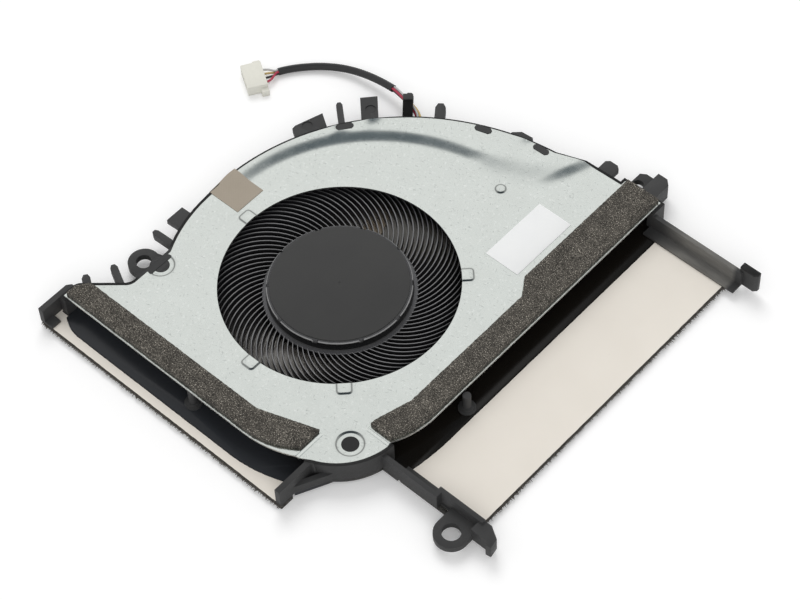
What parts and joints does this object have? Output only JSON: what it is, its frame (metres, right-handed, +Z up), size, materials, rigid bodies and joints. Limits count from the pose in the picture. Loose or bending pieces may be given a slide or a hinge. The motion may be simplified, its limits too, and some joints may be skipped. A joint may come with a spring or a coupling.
{
  "type": "laptop blower fan",
  "caption": "Flat two-outlet laptop blower with a bladed rotor, stamped cover, foam seals, heat-sink rails, mounting ears and a short lead with a connector.",
  "frame": {"origin": "on the rotor axis, on the underside of the bearing seat, which is the plane the fan lies on", "axes": "+X along the front outlet towards the side outlet, +Y along the side outlet towards the back, +Z up, out of the air inlet"},
  "size_m": [0.1228, 0.1093, 0.0081],
  "materials": {
    "frame_plastic": "matte",
    "cover_steel": "satin",
    "dark_foam": "matte",
    "pale_film": "satin",
    "white_sticker": "satin",
    "cloth_tape": "matte",
    "brass": "satin",
    "sintered_bronze": "matte",
    "pad_plastic": "satin",
    "core_steel": "satin",
    "copper": "gloss",
    "board": "satin",
    "chip_plastic": "matte",
    "red_insulation": "satin",
    "black_insulation": "satin",
    "yellow_insulation": "satin",
    "grey_insulation": "satin",
    "sleeve_plastic": "satin",
    "ivory_plastic": "satin",
    "tinned_brass": "gloss",
    "blade_plastic": "satin",
    "yoke_metal": "matte",
    "magnet": "matte",
    "shaft_steel": "polished"
  },
  "bodies": {
    "frame": {"base_frame": "frame_plastic", "top_cover": "cover_steel", "side_cover_foam": "dark_foam", "front_cover_foam": "dark_foam", "side_seal_foam": "dark_foam", "side_seal_film": "pale_film", "front_seal_foam": "dark_foam", "front_seal_film": "pale_film", "blank_label": "white_sticker", "edge_tape": "cloth_tape", "bearing_tube": "brass", "bearing_sleeve": "sintered_bronze", "thrust_pad": "pad_plastic", "stator_core": "core_steel", "stator_coils": "copper", "motor_board": "board", "driver_chip": "chip_plastic", "wire_red": "red_insulation", "wire_black": "black_insulation", "wire_yellow": "yellow_insulation", "wire_grey": "grey_insulation", "cable_sleeve": "sleeve_plastic", "connector_housing": "ivory_plastic", "connector_terminals": "tinned_brass"},
    "rotor": {"impeller": "blade_plastic", "rotor_yoke": "yoke_metal", "magnet_ring": "magnet", "shaft": "shaft_steel"}
  },
  "joints": [
    {"name": "impeller_spin", "type": "hinge", "parent": "frame", "child": "rotor", "pos_m": [0, 0, 0], "axis": [0, 0, -1], "continuous": true}
  ]
}
